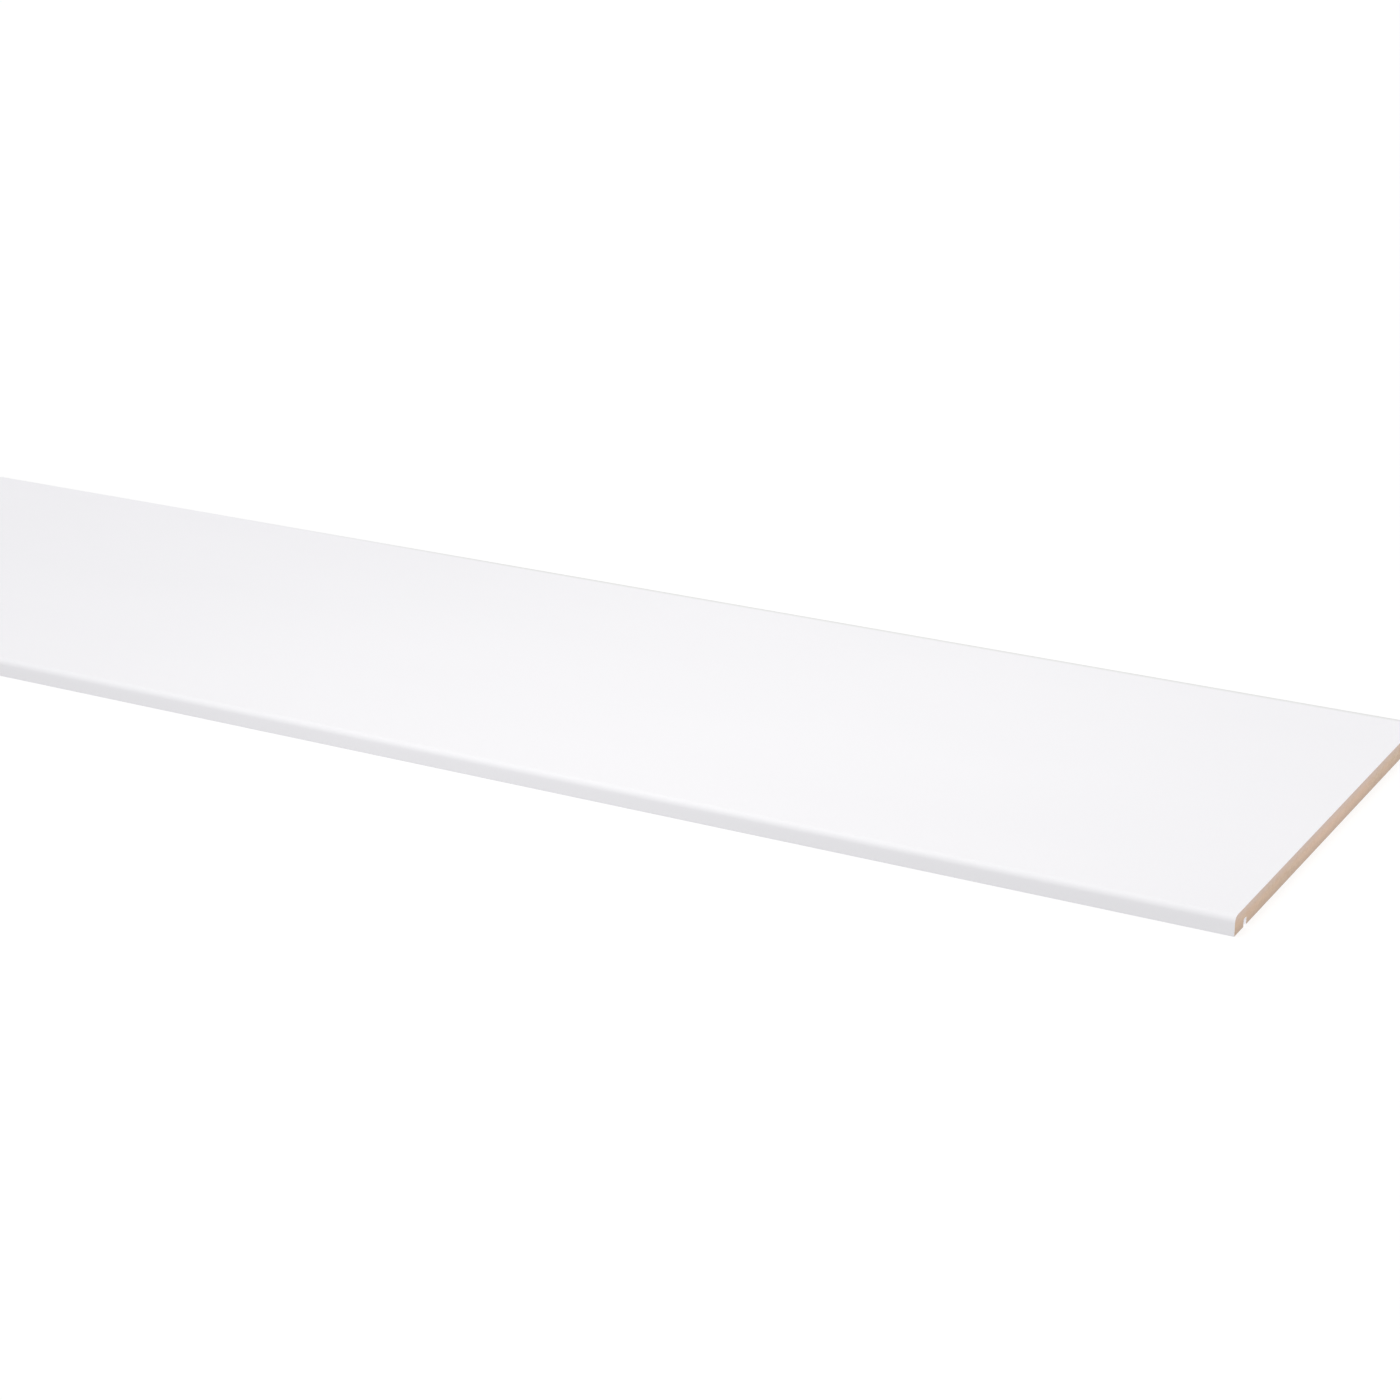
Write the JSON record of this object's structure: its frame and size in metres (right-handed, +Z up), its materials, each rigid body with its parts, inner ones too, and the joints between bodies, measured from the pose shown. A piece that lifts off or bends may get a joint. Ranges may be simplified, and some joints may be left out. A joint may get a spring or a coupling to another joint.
{
  "type": "window sill board",
  "caption": "Long flat white-coated fibreboard sill with a rounded nose, a narrow groove under it and plain sawn ends, laid on the wall under a window.",
  "frame": {"origin": "middle of the underside, half way along the board and half way across it", "axes": "+X along the board towards the sawn end shown in the picture, +Y from the nose to the back edge, +Z up through the thickness"},
  "size_m": [3.05, 0.5, 0.018],
  "materials": {
    "coated_mdf": "white satin lacquer on MDF, with the two sawn ends left as bare tan fibreboard"
  },
  "bodies": {
    "root": {"sill_board": "coated_mdf"}
  },
  "joints": []
}
